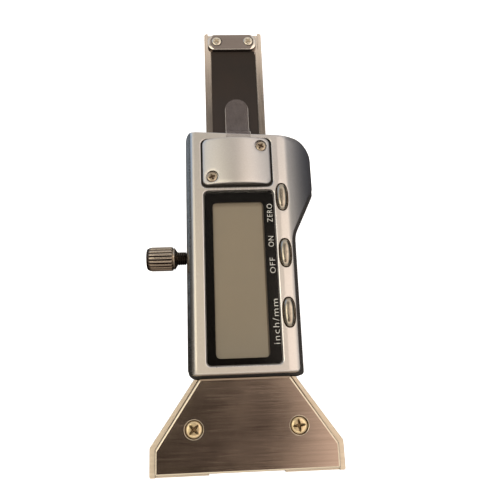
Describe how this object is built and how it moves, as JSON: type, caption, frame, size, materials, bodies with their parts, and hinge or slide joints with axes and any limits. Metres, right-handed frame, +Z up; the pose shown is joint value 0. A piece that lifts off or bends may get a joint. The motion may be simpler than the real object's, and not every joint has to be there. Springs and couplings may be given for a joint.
{
  "type": "digital depth gauge",
  "caption": "Digital depth gauge: a display slider on a short caliper beam with a trapezoid measuring base, lock screw and push buttons.",
  "frame": {"origin": "middle of the gauge's flat back: bottom centre of its outer box as it lies on its back", "axes": "+Y along the beam from the measuring feet to the end stop, +Z up out of the display, +X to the right as the display is read with the base nearest"},
  "size_m": [0.0458, 0.1162, 0.0156],
  "materials": {
    "steel_satin": "satin ground stainless",
    "steel_brushed": "stainless brushed across its width",
    "steel_hard": "hardened, fine ground",
    "silver_coat": "satin silver",
    "black_plastic": "moulded, slightly glossy",
    "plate_aluminium": "brushed, bare",
    "zinc_yellow": "yellow plated, glossy",
    "brass": "plain",
    "nickel": "bright nickel",
    "chrome": "polished",
    "scale_film": "matt dark film",
    "fibre_board": "lacquered circuit board",
    "window": "clear, polished",
    "mask_black": "black printed border",
    "lcd": "blank reflective display",
    "holder_plastic": "moulded",
    "silicone": "soft, matt",
    "cell_steel": "plain steel can",
    "clear_film": "clear film, slightly grey"
  },
  "bodies": {
    "slider": {"slider_frame": "steel_satin", "rear_guide_plate": "steel_satin", "gib_strip": "brass", "gib_screw_lower": "steel_hard", "gib_screw_upper": "steel_hard", "front_housing": "silver_coat", "rear_housing": "black_plastic", "rear_label_plate": "plate_aluminium", "housing_screw_1": "steel_hard", "housing_screw_2": "steel_hard", "housing_screw_3": "steel_hard", "housing_screw_4": "steel_hard", "base_block": "steel_satin", "base_front_plate": "steel_brushed", "base_screw_left": "zinc_yellow", "base_screw_right": "zinc_yellow", "tongue_screw_left": "steel_hard", "tongue_screw_right": "steel_hard", "display_window": "window", "display_mask": "mask_black", "lcd_glass": "lcd", "lcd_holder": "holder_plastic", "zebra_strip": "silicone", "main_circuit_board": "fibre_board", "key_mat": "silicone", "battery_cover": "silver_coat", "battery_cover_screw_lower": "zinc_yellow", "battery_cover_screw_upper": "zinc_yellow", "battery_cell": "cell_steel", "battery_contact_negative": "brass", "battery_contact_positive": "brass", "battery_pull_tab": "clear_film"},
    "beam_group": {"beam": "steel_satin", "scale_board": "fibre_board", "scale_cover_film": "scale_film", "end_stop_plate": "steel_satin", "end_stop_screw_left": "zinc_yellow", "end_stop_screw_right": "zinc_yellow", "measuring_pin": "steel_hard"},
    "zero_key": {"button_zero": "chrome"},
    "power_key": {"button_power": "chrome"},
    "unit_key": {"button_unit": "chrome"},
    "lock_plug": {"lock_pad": "brass"},
    "lock_knob": {"thumb_screw": "nickel"}
  },
  "joints": [
    {"name": "beam_slide", "type": "slide", "parent": "slider", "child": "beam_group", "axis": [0, -1, 0], "range_m": [0, 0.0294]},
    {"name": "zero_press", "type": "slide", "parent": "slider", "child": "zero_key", "axis": [0, 0, -1], "range_m": [0, 0.0005], "stiffness_N_per_m": 1200, "springref_m": -0.0005},
    {"name": "power_press", "type": "slide", "parent": "slider", "child": "power_key", "axis": [0, 0, -1], "range_m": [0, 0.0005], "stiffness_N_per_m": 1200, "springref_m": -0.0005},
    {"name": "unit_press", "type": "slide", "parent": "slider", "child": "unit_key", "axis": [0, 0, -1], "range_m": [0, 0.0005], "stiffness_N_per_m": 1200, "springref_m": -0.0005},
    {"name": "lock_advance", "type": "slide", "parent": "slider", "child": "lock_plug", "axis": [1, 0, 0], "range_m": [-0.0005, 0.000125]},
    {"name": "lock_turn", "type": "hinge", "parent": "lock_plug", "child": "lock_knob", "pos_m": [-0.01937, -0.00668, 0.0045], "axis": [1, 0, 0], "range_deg": [-361, 91]}
  ],
  "couplings": [
    {"joint": "lock_turn", "follows": "lock_advance", "rad_per_m": 12566}
  ]
}
